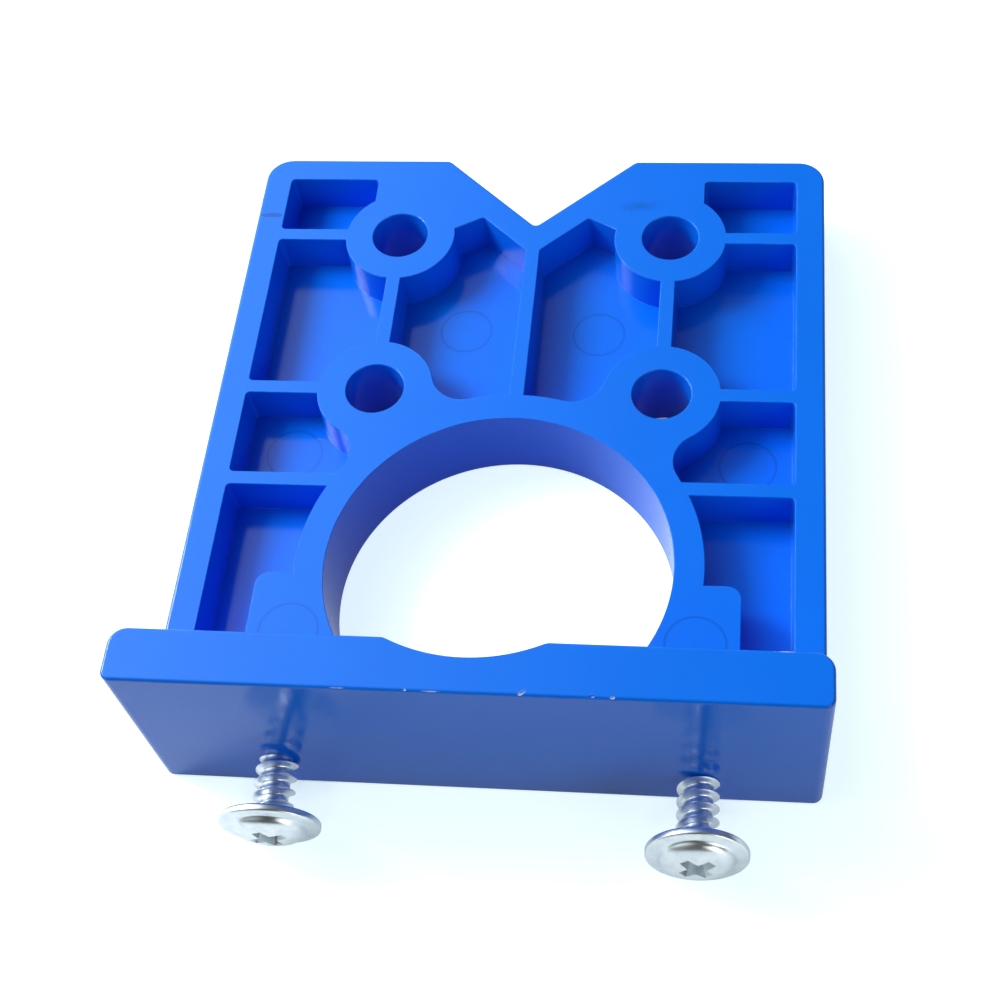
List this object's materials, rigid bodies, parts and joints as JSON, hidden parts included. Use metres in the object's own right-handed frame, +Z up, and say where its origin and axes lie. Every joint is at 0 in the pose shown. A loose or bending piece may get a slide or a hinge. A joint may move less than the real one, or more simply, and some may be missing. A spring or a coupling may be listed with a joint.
{
  "type": "hinge drilling jig",
  "caption": "Flat moulded drilling guide with a large cup bore, guide holes in bosses, an upright fence on one edge and adjusting screws through the fence.",
  "frame": {"origin": "middle of the whole part's footprint, on the plate's smooth underside", "axes": "+Z up, square to the plate and out of its ribbed side; +Y along the plate from the fence to the notched edge; +X to the right as seen from the fence"},
  "size_m": [0.0676, 0.0866, 0.0231],
  "materials": {
    "blue_plastic": "bright blue injection-moulded plastic, semi-gloss",
    "zinc_plated_steel": "bright zinc plate"
  },
  "bodies": {
    "jig": {"jig_body": "blue_plastic"},
    "left_adjuster": {"left_screw": "zinc_plated_steel"},
    "right_adjuster": {"right_screw": "zinc_plated_steel"}
  },
  "joints": [
    {"name": "left_screw_travel", "type": "slide", "parent": "jig", "child": "left_adjuster", "axis": [0.0349, -0.999, -0.0297], "range_m": [-0.0056, 0.003]},
    {"name": "right_screw_travel", "type": "slide", "parent": "jig", "child": "right_adjuster", "axis": [0.0208, -0.9934, 0.1132], "range_m": [-0.0064, 0.003]}
  ]
}
